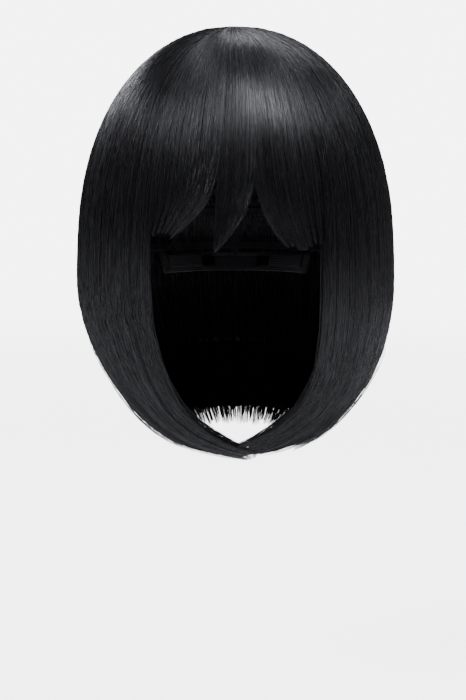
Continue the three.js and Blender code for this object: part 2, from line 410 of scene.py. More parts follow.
def tubes(tree, curves, radius):
    """Closed three-sided tubes along curves."""
    outline = node(tree, "GeometryNodeCurvePrimitiveCircle", {"Resolution": 3, "Radius": 1.0})
    return node(
        tree,
        "GeometryNodeCurveToMesh",
        {"Curve": curves, "Profile Curve": outline, "Scale": radius, "Fill Caps": True},
    )


def fibre_tree():
    """Fibres that run down a guide sheet, each a closed three-sided tube that thins to its tip.

    A fibre rises from its root depth to its own depth below the sheet, drifts with its
    neighbours, and draws to the middle of its lock near its end. The sheet runs past the hair
    by SPARE of its width at both edges, where fibres may stray.
    """
    tree, given = new_tree(
        "Fibres down a sheet",
        [
            ("Fibres", "Int", 1000),
            ("Steps", "Int", 12),
            ("Width", "Float", 0.0005),
            ("Depth", "Float", 0.002),
            ("Root depth", "Float", 0.004),
            ("Locks", "Float", 20.0),
            ("Gather", "Float", 0.5),
            ("Gather from", "Float", 0.7),
            ("Wander", "Float", 0.8),
            ("Ragged", "Float", 0.06),
            ("Latest start", "Float", 0.3),
            ("Seed", "Int", 0),
            ("Material", "Material", None),
        ],
    )
    total = node(
        tree, "ShaderNodeMath", {0: given["Fibres"], 1: given["Steps"]}, operation="MULTIPLY"
    )
    points = node(tree, "GeometryNodePoints", {"Count": total})
    index = node(tree, "GeometryNodeInputIndex")
    turns = node(tree, "ShaderNodeMath", {0: index, 1: given["Steps"]}, operation="DIVIDE")
    fibre = node(tree, "ShaderNodeMath", {0: turns}, operation="FLOOR")
    step = node(tree, "ShaderNodeMath", {0: index, 1: given["Steps"]}, operation="MODULO")
    last = node(tree, "ShaderNodeMath", {0: given["Steps"], 1: 1.0}, operation="SUBTRACT")
    along = node(tree, "ShaderNodeMath", {0: step, 1: last}, operation="DIVIDE")

    draw = {}
    for order, name in enumerate(["across", "start", "end", "depth", "tone", "lean"]):
        seed = node(tree, "ShaderNodeMath", {0: given["Seed"], 1: order}, operation="ADD")
        draw[name] = node(
            tree, "FunctionNodeRandomValue", {"ID": fibre, "Seed": seed}, data_type="FLOAT"
        )

    # Every fibre belongs to a lock, which has a middle and an end of its own.
    lock = node(
        tree, "ShaderNodeMath", {0: draw["across"], 1: given["Locks"]}, operation="MULTIPLY"
    )
    number = node(tree, "ShaderNodeMath", {0: lock}, operation="FLOOR")
    own = {}
    for name, least, most in (("middle", 0.2, 0.8), ("cut", 0.0, 0.3), ("hold", 0.2, 1.0)):
        own[name] = node(
            tree,
            "FunctionNodeRandomValue",
            {2: least, 3: most, "ID": number, "Seed": given["Seed"]},
            data_type="FLOAT",
        )

    # Down the sheet: from a start that is mostly high to an end that is mostly full length.
    early = node(tree, "ShaderNodeMath", {0: draw["start"], 1: 1.6}, operation="POWER")
    start = node(
        tree, "ShaderNodeMath", {0: early, 1: given["Latest start"]}, operation="MULTIPLY"
    )
    late = node(tree, "ShaderNodeMath", {0: draw["end"], 1: 2.5}, operation="POWER")
    cut = node(tree, "ShaderNodeMath", {0: late, 1: own["cut"]}, operation="ADD")
    short = node(tree, "ShaderNodeMath", {0: cut, 1: given["Ragged"]}, operation="MULTIPLY")
    end = node(tree, "ShaderNodeMath", {0: 1.0, 1: short}, operation="SUBTRACT")
    bent = node(tree, "ShaderNodeMath", {0: along, 1: 1.2}, operation="POWER")
    down = node(tree, "ShaderNodeMapRange", {"Value": bent, "To Min": start, "To Max": end})

    # Across the sheet: neighbours drift together, and near its end a lock draws to its middle.
    slow = node(tree, "ShaderNodeMath", {0: down, 1: 1.4}, operation="MULTIPLY")
    shared_place = node(tree, "ShaderNodeCombineXYZ", {0: lock, 1: slow, 2: given["Seed"]})
    shared = node(
        tree, "ShaderNodeTexNoise", {"Vector": shared_place, "Scale": 1.0, "Detail": 2.0}
    )
    private = node(tree, "ShaderNodeMath", {0: draw["lean"], 1: 400.0}, operation="MULTIPLY")
    own_place = node(tree, "ShaderNodeCombineXYZ", {0: private, 1: slow, 2: 0.5})
    lone = node(tree, "ShaderNodeTexNoise", {"Vector": own_place, "Scale": 1.0, "Detail": 0.0})
    both = node(tree, "ShaderNodeMath", {0: lone, 1: LONE_SHARE, 2: shared}, operation="MULTIPLY_ADD")
    level = (1 + LONE_SHARE) / 2
    centred = node(tree, "ShaderNodeMath", {0: both, 1: level}, operation="SUBTRACT")
    stray = node(tree, "ShaderNodeMath", {0: centred, 1: given["Wander"]}, operation="MULTIPLY")
    middle = node(tree, "ShaderNodeMath", {0: number, 1: own["middle"]}, operation="ADD")
    near_end = node(
        tree,
        "ShaderNodeMapRange",
        {"Value": down, "From Min": given["Gather from"], "From Max": 1.02},
        interpolation_type="SMOOTHSTEP",
    )
    held = node(tree, "ShaderNodeMath", {0: near_end, 1: own["hold"]}, operation="MULTIPLY")
    pull = node(tree, "ShaderNodeMath", {0: held, 1: given["Gather"]}, operation="MULTIPLY")
    gathered = node(tree, "ShaderNodeMix", {0: pull, 2: lock, 3: middle})
    moved = node(tree, "ShaderNodeMath", {0: gathered, 1: stray}, operation="ADD")
    placed = node(tree, "ShaderNodeMath", {0: moved, 1: given["Locks"]}, operation="DIVIDE")
    room = SPARE / (1 + 2 * SPARE)
    inset = node(
        tree, "ShaderNodeMath", {0: placed, 1: 1 - 2 * room, 2: room}, operation="MULTIPLY_ADD"
    )
    across = node(tree, "ShaderNodeClamp", {"Value": inset, "Min": 0.0005, "Max": 0.9995})
    sample = node(tree, "ShaderNodeCombineXYZ", {0: across, 1: down})

    # The point and the outward direction of the sheet there.
    uv = node(
        tree, "GeometryNodeInputNamedAttribute", {"Name": UV_MAP}, data_type="FLOAT_VECTOR"
    )
    found = {}
    for name, field in (("place", "Position"), ("out", "Normal")):
        found[name] = node(
            tree,
            "GeometryNodeSampleUVSurface",
            {
                "Mesh": given["Geometry"],
                "Value": node(tree, "GeometryNodeInput" + field),
                "UV Map": uv,
                "Sample UV": sample,
            },
            data_type="FLOAT_VECTOR",
        )
    folds = node(tree, "ShaderNodeTexNoise", {"Vector": shared_place, "Scale": 0.8, "Detail": 1.0})
    layered = node(tree, "ShaderNodeMix", {0: 0.45, 2: draw["depth"], 3: folds})
    rooted = node(
        tree,
        "ShaderNodeMapRange",
        {
            "Value": start,
            "From Max": 0.05,
            "To Min": WHORL_ROOT_DEPTH,
            "To Max": given["Root depth"],
        },
    )
    deep = node(tree, "ShaderNodeMath", {0: layered, 1: given["Depth"]}, operation="MULTIPLY")
    risen = node(
        tree,
        "ShaderNodeMapRange",
        {"Value": along, "From Max": 0.06, "To Min": rooted, "To Max": deep},
        interpolation_type="SMOOTHSTEP",
    )
    inward = node(tree, "ShaderNodeMath", {0: risen, 1: -1.0}, operation="MULTIPLY")
    offset = node(tree, "ShaderNodeVectorMath", {0: found["out"], 3: inward}, operation="SCALE")
    kept = node(
        tree,
        "GeometryNodeSetPosition",
        {"Geometry": points, "Position": found["place"], "Offset": offset},
    )

    for name, value in (("tone", draw["tone"]), ("along", along)):
        kept = node(
            tree, "GeometryNodeStoreNamedAttribute", {"Geometry": kept, "Name": name, "Value": value}
        )
    curves = node(
        tree, "GeometryNodePointsToCurves", {"Points": kept, "Curve Group ID": fibre, "Weight": along}
    )
    ahead = node(tree, "GeometryNodeInputNamedAttribute", {"Name": "along"}, data_type="FLOAT")
    thin = node(
        tree,
        "ShaderNodeMapRange",
        {"Value": ahead, "From Min": 0.75, "To Min": 0.5, "To Max": 0.14},
    )
    radius = node(tree, "ShaderNodeMath", {0: thin, 1: given["Width"]}, operation="MULTIPLY")
    return finish_tree(tree, tubes(tree, curves, radius), given["Material"])


def net_tree():
    """A knitted net: the honeycomb of a grid sheet, every edge a fine closed thread."""
    tree, given = new_tree(
        "Net on a sheet", [("Thread", "Float", THREAD), ("Material", "Material", None)]
    )
    split = node(tree, "GeometryNodeTriangulate", {"Mesh": given["Geometry"]})
    cells = node(tree, "GeometryNodeDualMesh", {"Mesh": split, "Keep Boundaries": True})
    curves = node(tree, "GeometryNodeMeshToCurve", {"Mesh": cells})
    radius = node(tree, "ShaderNodeMath", {0: given["Thread"], 1: 0.5}, operation="MULTIPLY")
    return finish_tree(tree, tubes(tree, curves, radius), given["Material"])


def stitch_tree():
    """Stitches along a line: short closed threads, each lying along the line."""
    tree, given = new_tree(
        "Stitches along a line",
        [
            ("Pitch", "Float", 0.0025),
            ("Stitch", "Float", 0.0019),
            ("Thread", "Float", THREAD),
            ("Material", "Material", None),
        ],
    )
    line = node(tree, "GeometryNodeMeshToCurve", {"Mesh": given["Geometry"]})
    spots = node(
        tree,
        "GeometryNodeCurveToPoints",
        {"Curve": line, "Length": given["Pitch"]},
        mode="LENGTH",
    )
    half = node(tree, "ShaderNodeMath", {0: given["Stitch"], 1: 0.5}, operation="MULTIPLY")
    radius = node(tree, "ShaderNodeMath", {0: given["Thread"], 1: 0.5}, operation="MULTIPLY")
    size = node(tree, "ShaderNodeCombineXYZ", {0: radius, 1: radius, 2: half})
    bead = node(
        tree, "GeometryNodeMeshUVSphere", {"Segments": 6, "Rings": 4, "Radius": 1.0}
    )
    placed = node(
        tree,
        "GeometryNodeInstanceOnPoints",
        {
            "Points": spots,
            "Instance": bead,
            "Rotation": spots.outputs["Rotation"],
            "Scale": size,
        },
    )
    return finish_tree(tree, placed, given["Material"])


# ------------------------------------------------------------------------------- materials


def new_material(name, **constants):
    """A material with its tree, shader and output, and constants on the shader's sockets."""
    made = bpy.data.materials.new(name)
    made.use_nodes = True
    made.node_tree.nodes.clear()
    shader = node(made.node_tree, "ShaderNodeBsdfPrincipled")
    for socket, value in constants.items():
        shader.inputs[socket.replace("_", " ")].default_value = value
    node(made.node_tree, "ShaderNodeOutputMaterial", {"Surface": shader})
    return made, made.node_tree, shader


def shown(tree, shader, pattern, shades=None, rough=None, bump=None):
    """Shows a pattern on a material, from its low to its high values.

    shades are two sRGB colours, rough two roughnesses, and bump a strength and a height in
    millimetres.
    """
    if shades:
        mixed = {0: pattern, 6: linear(shades[0]), 7: linear(shades[1])}
        base = node(tree, "ShaderNodeMix", mixed, data_type="RGBA")
        tree.links.new(base.outputs[2], shader.inputs["Base Color"])
    if rough:
        ends = {"Value": pattern, "To Min": rough[0], "To Max": rough[1]}
        value = node(tree, "ShaderNodeMapRange", ends)
        tree.links.new(value.outputs[0], shader.inputs["Roughness"])
    if bump:
        raised = {"Height": pattern, "Strength": bump[0], "Distance": bump[1] * MM}
        normal = node(tree, "ShaderNodeBump", raised)
        tree.links.new(normal.outputs[0], shader.inputs["Normal"])


def speckle(tree, size, detail):
    """A pattern of specks of a size in millimetres, in the object's own space."""
    place = node(tree, "ShaderNodeTexCoord")
    inputs = {"Vector": place.outputs["Object"], "Scale": 1 / (size * MM), "Detail": detail}
    return node(tree, "ShaderNodeTexNoise", inputs)


def streaks(tree, width, stretch):
    """A pattern of streaks of a width in millimetres that run down the UV map."""
    uv = node(tree, "ShaderNodeUVMap", uv_map=UV_MAP)
    scale = (1 / (width * MM), stretch / (width * MM), 1)
    stretched = node(tree, "ShaderNodeMapping", {"Vector": uv, "Scale": scale})
    return node(tree, "ShaderNodeTexNoise", {"Vector": stretched, "Scale": 1.0, "Detail": 2.0})


def fibre_material(colours):
    """Drawn polyester hair fibre, heat-set and combed.

    It is dyed in the mass, so it is near-black all through. The smooth drawn skin gives the
    narrow bright streak along each fibre, and neighbours differ a little in tone.
    """
    made, tree, shader = new_material("Polyester hair fibre, drawn and combed", IOR=1.55)
    tone = node(tree, "ShaderNodeAttribute", attribute_name="tone").outputs["Fac"]
    shown(tree, shader, tone, (colours.fibre, colours.fibre_light), rough=(0.2, 0.36))
    return made


def mass_material(colours):
    """The fibre mass below the surface, combed.

    Only slits of it show between the fibres. Its colour runs from painted shade, darker than the
    fibres and standing for the shade deep between them, up to the fibres' own colour. It is duller,
    with fine furrows that run down the hair. Real fibres are 0.07 mm wide, and the furrows are drawn
    0.5 mm wide.
    """
    made, tree, shader = new_material("Polyester fibre mass, combed", Roughness=0.5)
    furrows_and_painted_shade = streaks(tree, 0.5, 0.04)
    # Painted shade: the furrows' low parts, and so the mass as a whole, are coloured darker than the
    # fibres.
    shown(tree, shader, furrows_and_painted_shade, ("#050506", colours.fibre), bump=(0.9, 0.4))
    return made


def net_material(colours):
    """Knitted nylon net: matt textured yarn, so it stays dull beside the hair."""
    made, tree, shader = new_material("Knitted nylon net, matt yarn", Roughness=0.72)
    yarn = speckle(tree, 0.3, 2.0)
    shown(tree, shader, yarn, (colours.elastic, colours.thread), bump=(0.4, 0.1))
    return made


def elastic_material(colours):
    """Woven elastic: ribs across the band, where rubber cords lift the cover yarn every 1.2 mm."""
    made, tree, shader = new_material(
        "Woven elastic, ribbed", Roughness=0.68, Sheen_Weight=0.15
    )
    uv = node(tree, "ShaderNodeUVMap", uv_map=UV_MAP)

    ribs = node(
        tree,
        "ShaderNodeTexWave",
        {"Vector": uv, "Scale": math.tau / 20 / (1.2 * MM), "Distortion": 0.4, "Detail": 1.0},
        bands_direction="Y",
    )
    yarn = node(
        tree,
        "ShaderNodeTexWave",
        {"Vector": uv, "Scale": math.tau / 20 / (0.5 * MM), "Distortion": 1.0},
        bands_direction="X",
    )
    height = node(tree, "ShaderNodeMath", {0: ribs, 1: yarn}, operation="MULTIPLY")
    shown(tree, shader, height, ("#0E0E10", colours.thread), bump=(0.7, 0.3))
    return made


def header_material(colours):
    """The head of a weft: fibre ends folded over and sewn, lying across the strip.

    Fibres lie across a strip because the pattern changes only with the azimuth. Real ones are
    0.07 mm wide, and they are drawn 0.4 mm wide at 0.1 m from the middle.
    """
    made, tree, shader = new_material("Weft header, folded fibre", Roughness=0.42)
    place = node(tree, "ShaderNodeTexCoord")
    spot = node(tree, "ShaderNodeSeparateXYZ", {0: place.outputs["Object"]})
    azimuth = node(
        tree, "ShaderNodeMath", {0: spot.outputs[0], 1: spot.outputs[1]}, operation="ARCTAN2"
    )
    per_radian = 0.1 / (0.4 * MM)
    passed = node(tree, "ShaderNodeMath", {0: azimuth, 1: per_radian}, operation="MULTIPLY")
    inputs = {"W": passed, "Scale": 1.0, "Detail": 2.0}
    ends = node(tree, "ShaderNodeTexNoise", inputs, noise_dimensions="1D")
    shown(tree, shader, ends, (colours.fibre, colours.thread), bump=(0.8, 0.3))
    return made


def thread_material(colours):
    """Twisted polyester sewing thread: a soft low shine, with the twist as fine bumps."""
    made, tree, shader = new_material("Polyester sewing thread, twisted", Roughness=0.5)
    twist = speckle(tree, 0.25, 1.0)
    shown(tree, shader, twist, (colours.elastic, colours.thread), bump=(0.5, 0.1))
    return made


def scalp_material(colours):
    """Polyester tricot: a fine flat knit in a beige skin shade, soft and matt."""
    made, tree, shader = new_material("Tricot knit, matt beige", Roughness=0.85, Sheen_Weight=0.2)
    place = node(tree, "ShaderNodeTexCoord")
    inputs = {"Vector": place.outputs["Object"], "Scale": 1 / (0.9 * MM)}
    loops = node(tree, "ShaderNodeTexVoronoi", inputs).outputs["Distance"]
    shown(tree, shader, loops, (colours.scalp, "#A88A6D"), bump=(0.6, 0.2))
    return made


def hook_material(colours):
    """Injection-moulded nylon: semi-gloss, with the faint grain of the mould."""
    made, tree, shader = new_material("Nylon, moulded", IOR=1.53, Base_Color=linear(colours.hook))
    grain = speckle(tree, 0.4, 3.0)
    shown(tree, shader, grain, rough=(0.28, 0.44), bump=(0.2, 0.05))
    return made


def stay_material(colours):
    """Rolled aluminium strip: rolling lines along its length give a soft streaked shine."""
    made, tree, shader = new_material(
        "Aluminium strip, rolled", Metallic=1.0, Base_Color=linear(colours.stay)
    )
    shown(tree, shader, streaks(tree, 0.15, 0.03), rough=(0.3, 0.5))
    return made


def floor_material(colours):
    """Seamless studio paper, matt and pale, which fades out to the white surroundings."""
    pale = linear(colours.floor)
    made, tree, shader = new_material("Studio paper, matt", Roughness=0.9, Base_Color=pale)
    shown(tree, shader, speckle(tree, 2, 3.0), bump=(0.05, 0.1))

    # The paper glows to the camera far more than it lights the hair.
    seen = node(tree, "ShaderNodeLightPath").outputs["Is Camera Ray"]
    glow = node(tree, "ShaderNodeEmission", {"Color": pale, "Strength": 4.5})
    bounce = node(tree, "ShaderNodeEmission", {"Color": pale, "Strength": 0.25})
    lit = node(tree, "ShaderNodeMixShader", {0: seen, 1: bounce, 2: glow})
    paper = node(tree, "ShaderNodeAddShader", {0: shader, 1: lit})
    place = node(tree, "ShaderNodeTexCoord").outputs["Object"]
    away = node(tree, "ShaderNodeVectorMath", {0: place}, operation="LENGTH")
    fade = node(
        tree,
        "ShaderNodeMapRange",
        {"Value": away.outputs["Value"], "From Min": 0.9, "From Max": 3.5},
        interpolation_type="SMOOTHSTEP",
    )
    clear = node(tree, "ShaderNodeBsdfTransparent")
    faded = node(tree, "ShaderNodeMixShader", {0: fade, 1: paper, 2: clear})
    output = next(n for n in tree.nodes if n.bl_idname == "ShaderNodeOutputMaterial")
    tree.links.new(faded.outputs[0], output.inputs["Surface"])
    return made


MATERIALS = {
    "fibre": fibre_material,
    "mass": mass_material,
    "net": net_material,
    "elastic": elastic_material,
    "header": header_material,
    "thread": thread_material,
    "scalp": scalp_material,
    "hook": hook_material,
    "stay": stay_material,
    "floor": floor_material,
}
TREES = {"fibres": fibre_tree, "net": net_tree, "stitches": stitch_tree}


@functools.cache
def material(key):
    """The material of that key, made the first time that it is asked for."""
    return MATERIALS[key](bpy.context.scene.wig_colours)


@functools.cache
def tree_of(key):
    """The node tree of that key, made the first time that it is asked for."""
    return TREES[key]()


def paint(piece, key):
    piece.data.materials.clear()
    piece.data.materials.append(material(key))
    return piece


# ------------------------------------------------------------------------------- hair sections


def fringe_sections():
    """The three locks of the fringe: azimuths of both edges at the root and tip, and the cut."""
    cut = bpy.context.scene.wig_cut
    reach, longest = math.degrees(cut.fringe_reach), math.degrees(cut.fringe_cut)
    return {
        "right": ((-reach, -reach), (-5.0, -27.0), longest - 1.5),
        "centre": ((-6.4, -7.6), (7.4, -5.2), longest + 1.2),
        "left": ((6.2, 17.0), (reach, reach), longest + 0.8),
    }


def fringe_place(side, top, end=1.0):
    """Azimuth and polar angle of a point of a fringe lock: u across it, v down it."""
    cut = bpy.context.scene.wig_cut
    near, far, longest = fringe_sections()[side]
    root, tip = math.degrees(cut.root_line), math.degrees(cut.fringe_cut)

    def place(u, v):
        polar = mix(top, longest * end, v)
        sweep = np.clip((polar - root) / (tip - root), 0, 1.2) ** 4
        azimuth = mix(mix(near[0], near[1], sweep), mix(far[0], far[1], sweep), u)
        return azimuth, polar

    return place


def side_place(sign, top, end=1.0):
    """Azimuth and polar angle of a point of the side hair: u from the face to the nape.

    Hair from above the ear sweeps forward below the cheek, so that its ends meet at the middle.
    """
    cut = bpy.context.scene.wig_cut
    root = math.degrees(cut.root_line)
    longest = math.degrees(cut.side_cut) + (1 if sign > 0 else 4)
    reach, rear = math.degrees(cut.fringe_reach), math.degrees(cut.back_reach)
    hem_rise, turn_from = 9, 0.58

    def place(u, v):
        u = u if sign > 0 else 1 - u
        # The hem is highest at the face's edge and at the back.
        hem = longest - hem_rise * (1 - ease(u, 0, 0.22) + ease(u, 0.25, 0.75))
        polar = mix(top, hem * end, v)
        down = (polar - root) / (hem - root)
        hanging = mix(reach, rear, u)
        swept = (rear - 6) * np.clip(u, 0, 1) ** 1.6 - (1 if sign > 0 else 4)
        turn = np.clip((down - turn_from) / (1 - turn_from), 0, 1.1) ** 3.2
        return sign * mix(hanging, swept, turn), polar

    return place


def back_place(top, end=1.0):
    """Azimuth and polar angle of a point of the back hair: u from the left to the right."""
    cut = bpy.context.scene.wig_cut
    root, hem = math.degrees(cut.root_line), math.degrees(cut.back_cut)
    rear = math.degrees(cut.back_reach)

    def place(u, v):
        polar = mix(top, hem * end, v)
        edge = rear - 8 * ease((polar - root) / (hem - root), 0.6, 1)
        return mix(edge, 360 - edge, u), polar

    return place


def fibres(name, place, lift, inward=False, **values):
    """Grows fibres down a guide sheet laid at a lift off the hair shell."""
    fibre = bpy.context.scene.wig_fibre

    def spot(u, v):
        across = mix(-SPARE, 1 + SPARE, 1 - u if inward else u)
        return combed(*place(across, v), lift(across, v) if callable(lift) else lift)

    settings = {
        "Width": fibre.width,
        "Depth": fibre.depth,
        "Root depth": ROOT_DEPTH,
        "Gather": fibre.gather,
        "Wander": fibre.wander,
        "Ragged": fibre.ragged,
        "Seed": fibre.seed,
        "Material": material("fibre"),
    }
    settings.update({key.replace("_", " ").capitalize(): value for key, value in values.items()})
    return grown(name, sheet(name + "_guide", spot, 60, 60), tree_of("fibres"), settings)


def mass_back(wide):
    """The lift of the inner face of a curtain's fibre mass, which thins at its two edges."""

    def lift(u, v):
        inset = np.clip(np.minimum(u, 1 - u) * wide / EDGE_ROUND, 0, 1)
        rounded = np.sqrt(1 - (1 - inset) ** 2)
        # It is 5 mm thick at the root and 1 mm at the hem, and fuller between.
        thick = mix(5.0, 1.0, v) + 3 * np.sin(math.pi * v)
        return -MASS_DEPTH - (0.3 + thick * rounded) * MM

    return lift


def hair_mass(name, place, wide, down):
    """The closed fibre mass under a curtain's surface, with a ragged hem."""
    across = max(14, int(wide))
    rng = np.random.default_rng(bpy.context.scene.wig_fibre.seed)
    notches = rng.random(across + 1)
    back = mass_back(wide)

    def points(u, v, side):
        azimuth, polar = place(mix(EDGE_GAP / wide, 1 - EDGE_GAP / wide, u), v)
        polar = polar - notches[np.rint(u * across).astype(int)] * ease(v, 0.9, 1)
        return combed(azimuth, polar, mix(back(u, v), -MASS_DEPTH, side))

    return paint(slab(name, points, across, down, (0.16, 0.22)), "mass")


def back_fibres(name, place, wide, **values):
    """Fibres on the inner face of a curtain's mass."""
    back = mass_back(wide)

    def lift(u, v):
        return back(u, v) - 0.5 * MM

    return fibres(f"{name}_back_fibres", place, lift, inward=True, depth=0.001, **values)


def hang(piece, body, bend, *nodes):
    """A curtain's piece gets its transform baked in, and the model parts named in nodes are hidden.
    """
    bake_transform(piece)
    if nodes:
        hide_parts(*nodes)


class WIG_OT_crown(bpy.types.Operator):
    """Make the fibre mass of the crown"""

    bl_idname = "wig.crown"
    bl_label = "Crown hair"

    def execute(self, context):
        root = math.degrees(context.scene.wig_cut.root_line)
        rings, spokes = 28, 96
        outer, inner = -MASS_DEPTH, -MASS_DEPTH - 5 * MM
        polar = np.linspace(root / rings, root + CROWN_END, rings)
        azimuth = np.arange(spokes) * 360 / spokes
        p, a = [g.ravel() for g in np.meshgrid(polar, azimuth, indexing="ij")]
        shell = [combed(a, p, outer), combed(a, p, inner)]
        poles = [combed(0.0, 0.0, outer), combed(0.0, 0.0, inner)]
        points = np.concatenate([shell[0], shell[1], np.array(poles)])
        count = rings * spokes
        faces = []
        for k in range(spokes):
            following = (k + 1) % spokes
            faces.append((2 * count, k, following))
            faces.append((2 * count + 1, count + following, count + k))
            for j in range(rings - 1):
                a0, b0 = j * spokes + k, j * spokes + following
                a1, b1 = a0 + spokes, b0 + spokes
                faces.append((a1, b1, b0, a0))
                faces.append((count + a0, count + b0, count + b1, count + a1))
            edge_a, edge_b = (rings - 1) * spokes + k, (rings - 1) * spokes + following
            faces.append((edge_b, edge_a, count + edge_a, count + edge_b))
        girth = math.tau * context.scene.wig_hair.half_width / 360
        uv = np.stack([a * girth, p * girth], -1)
        uv = np.concatenate([uv, uv, np.zeros((2, 2))])
        piece = paint(mesh_object("crown_hair_mass", points, faces, uv), "mass")
        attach(piece, "cap")
        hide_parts("crown_hair")
        return {"FINISHED"}


class WIG_OT_fringe(bpy.types.Operator):
    """Make the three locks of the fringe"""

    bl_idname = "wig.fringe"
    bl_label = "Fringe"

    def execute(self, context):
        fibre = context.scene.wig_fibre
        root = math.degrees(context.scene.wig_cut.root_line) + CURTAIN_ROOT
        for number, (side, (near, far, _)) in enumerate(fringe_sections().items()):
            body, wide = f"{side}_fringe", far[0] - near[0]
            mass = hair_mass(f"fringe_{side}_mass", fringe_place(side, root, 0.94), wide, 16)
            hang(mass, body, FRINGE_BEND, f"fringe_{side}_lock")
            piece = fibres(
                f"fringe_{side}_fibres",
                fringe_place(side, CROWN_START),
                0.0,
                fibres=int(wide * fibre.per_degree * 1.5),
                steps=13,
                locks=wide / 3.6,
                gather=0.85,
                gather_from=0.86,
                ragged=0.06,
                latest_start=0.45,
                seed=fibre.seed + 20 * number,
            )
            hang(piece, body, FRINGE_BEND)
            piece = back_fibres(
                f"fringe_{side}",
                fringe_place(side, root, 0.98),
                wide,
                fibres=int(wide * fibre.per_degree * 0.4),
                steps=6,
                locks=wide / 4.5,
                seed=fibre.seed + 20 * number + 7,
            )
            hang(piece, body, FRINGE_BEND)
        return {"FINISHED"}


def curtain(name, body, place, wide, lock_width, seed):
    """A long curtain: its fibre mass, two layers of fibres outside it and one inside."""
    fibre = bpy.context.scene.wig_fibre
    root = math.degrees(bpy.context.scene.wig_cut.root_line) + CURTAIN_ROOT
    hang(hair_mass(f"{name}_mass", place(root, 0.965), wide, 30), body, CURTAIN_BEND, name)
    for number, (sunk, share) in enumerate(((0.0, 0.72), (0.0012, 0.64))):
        piece = fibres(
            f"{name}_layer_{number + 1}_fibres",
            place(CROWN_START, 1.02),
            -sunk,
            fibres=int(wide * fibre.per_degree * share),
            steps=15,
            locks=wide / lock_width,
            latest_start=0.4,
            seed=seed + 20 * number,
        )
        hang(piece, body, CURTAIN_BEND)
    piece = back_fibres(
        name,
        place(root, 1.0),
        wide,
        fibres=int(wide * fibre.per_degree * 0.45),
        steps=8,
        locks=wide / 3,
        gather=0.25,
        ragged=0.1,
        seed=seed + 40,
    )
    hang(piece, body, CURTAIN_BEND)


class WIG_OT_sides(bpy.types.Operator):
    """Make the side hair, whose ends sweep forward under the chin"""

    bl_idname = "wig.sides"
    bl_label = "Side hair"

    def execute(self, context):
        cut = context.scene.wig_cut
        wide = math.degrees(cut.back_reach - cut.fringe_reach)
        for side, sign in SIDES.items():

            def place(top, end, sign=sign):
                return side_place(sign, top, end)

            name = f"{side}_side_hair"
            seed = context.scene.wig_fibre.seed + 200 + 100 * sign
            curtain(name, f"{side}_side", place, wide, 3.6, seed)
        return {"FINISHED"}


class WIG_OT_back(bpy.types.Operator):
    """Make the back hair"""

    bl_idname = "wig.back"
    bl_label = "Back hair"

    def execute(self, context):
        wide = 360 - 2 * math.degrees(context.scene.wig_cut.back_reach)
        seed = context.scene.wig_fibre.seed + 500
        curtain("back_hair", "back", back_place, wide, 2.6, seed)
        return {"FINISHED"}


def stray_fibres(name, body, place, count, seed):
    """Loose fibres that stand off a curtain."""
    look = {"width": 0.00024, "depth": -0.0016, "ragged": 0.3, "latest_start": 0.6, "wander": 1.0}
    piece = fibres(name, place, 0.0, fibres=count, steps=10, locks=6.0, gather=0.0, seed=seed, **look)
    hang(piece, body, CURTAIN_BEND)


def wisps(name, body, place, seed):
    """Fine fibres that run past one upright edge of a side curtain and past its tip."""
    look = {"width": 0.00028, "depth": 0.0016, "ragged": 0.10, "latest_start": 0.3, "wander": 1.6}
    piece = fibres(
        name,
        lambda u, v: place(1.02 - 0.26 * u, v),
        -0.0006,
        fibres=110,
        steps=12,
        locks=9.0,
        gather=0.7,
        gather_from=0.8,
        seed=seed,
        **look,
    )
    hang(piece, body, CURTAIN_BEND)


class WIG_OT_strays(bpy.types.Operator):
    """Make the stray fibres and wisps round the curtains"""

    bl_idname = "wig.strays"
    bl_label = "Stray fibres"

    def execute(self, context):
        seed = context.scene.wig_fibre.seed
        for side, sign in SIDES.items():
            body = f"{side}_side"
            wisps(f"{side}_wisp_fibres", body, side_place(sign, 100, 1.07), seed + sign)
            place = side_place(sign, STRAY_START, 1.03)
            stray_fibres(f"{side}_stray_fibres", body, place, 80, seed + 800 + sign)
        stray_fibres("back_stray_fibres", "back", back_place(STRAY_START, 1.02), 60, seed + 803)
        return {"FINISHED"}


class WIG_OT_inner(bpy.types.Operator):
    """Make the lower rows of hair that lie under the outer hair"""

    bl_idname = "wig.inner"
    bl_label = "Inner hair"

    def execute(self, context):
        fibre = context.scene.wig_fibre
        rear = math.degrees(context.scene.wig_cut.back_reach)
        rows = {
            "left_inner_hair": ((42, rear - 4), 127),
            "right_inner_hair": ((4 - rear, -42), 127),
            "nape_inner_hair": ((rear - 2, 362 - rear), 134),
        }
        for number, (name, (reach, hem)) in enumerate(rows.items()):
            wide = reach[1] - reach[0]

            def place(u, v, reach=reach, hem=hem):
                return mix(*reach, u), mix(INNER_ROOT, hem, v)

            for face, (lift, share) in {"outer": (-13.0, 0.2), "inner": (-17.0, 0.36)}.items():
                piece = fibres(
                    f"{name}_{face}_fibres",
                    place,
                    lift * MM,
                    inward=face == "inner",
                    fibres=int(wide * fibre.per_degree * share),
                    steps=8,
                    width=fibre.width * 1.3,
                    depth=0.0012,
                    root_depth=0.0005,
                    locks=wide / 3,
                    gather=0.2,
                    ragged=0.34,
                    latest_start=0.25,
                    seed=fibre.seed + 700 + 20 * number,
                )
                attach(piece, "cap")

            def points(u, v, side, reach=reach, hem=hem - 12):
                height = mix(-16.0, -14.4, side) * MM
                return combed(mix(*reach, u), mix(INNER_ROOT, hem, v), height)

            mass = paint(slab(f"{name}_mass", points, int(wide), 20, (0.12, 0.13)), "mass")
            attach(mass, "cap")
            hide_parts(name)
        return {"FINISHED"}


# ------------------------------------------------------------------------------- cap


